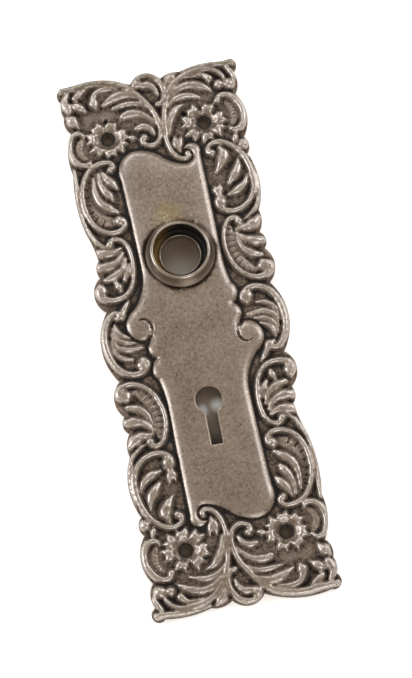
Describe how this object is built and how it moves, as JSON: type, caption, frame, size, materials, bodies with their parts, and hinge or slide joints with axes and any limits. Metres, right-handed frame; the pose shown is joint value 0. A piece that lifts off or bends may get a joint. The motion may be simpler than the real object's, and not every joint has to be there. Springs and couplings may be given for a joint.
{
  "type": "door backplate",
  "caption": "Pressed metal door backplate with scroll and leaf relief round a plain raised panel, with a keyhole, countersunk screw holes and a drawn collar for the knob.",
  "frame": {"origin": "on the door's face, under the middle of the plate", "axes": "+X to the right, +Y along the plate towards the knob collar, +Z out of the door"},
  "size_m": [0.0654, 0.193, 0.0088],
  "materials": {
    "aged_steel": "worn satin, dark brown dirt in the recesses",
    "dull_nickel": "dull greenish grey, stained inside"
  },
  "bodies": {
    "root": {"door_plate": "aged_steel", "knob_collar": "dull_nickel"}
  },
  "joints": []
}
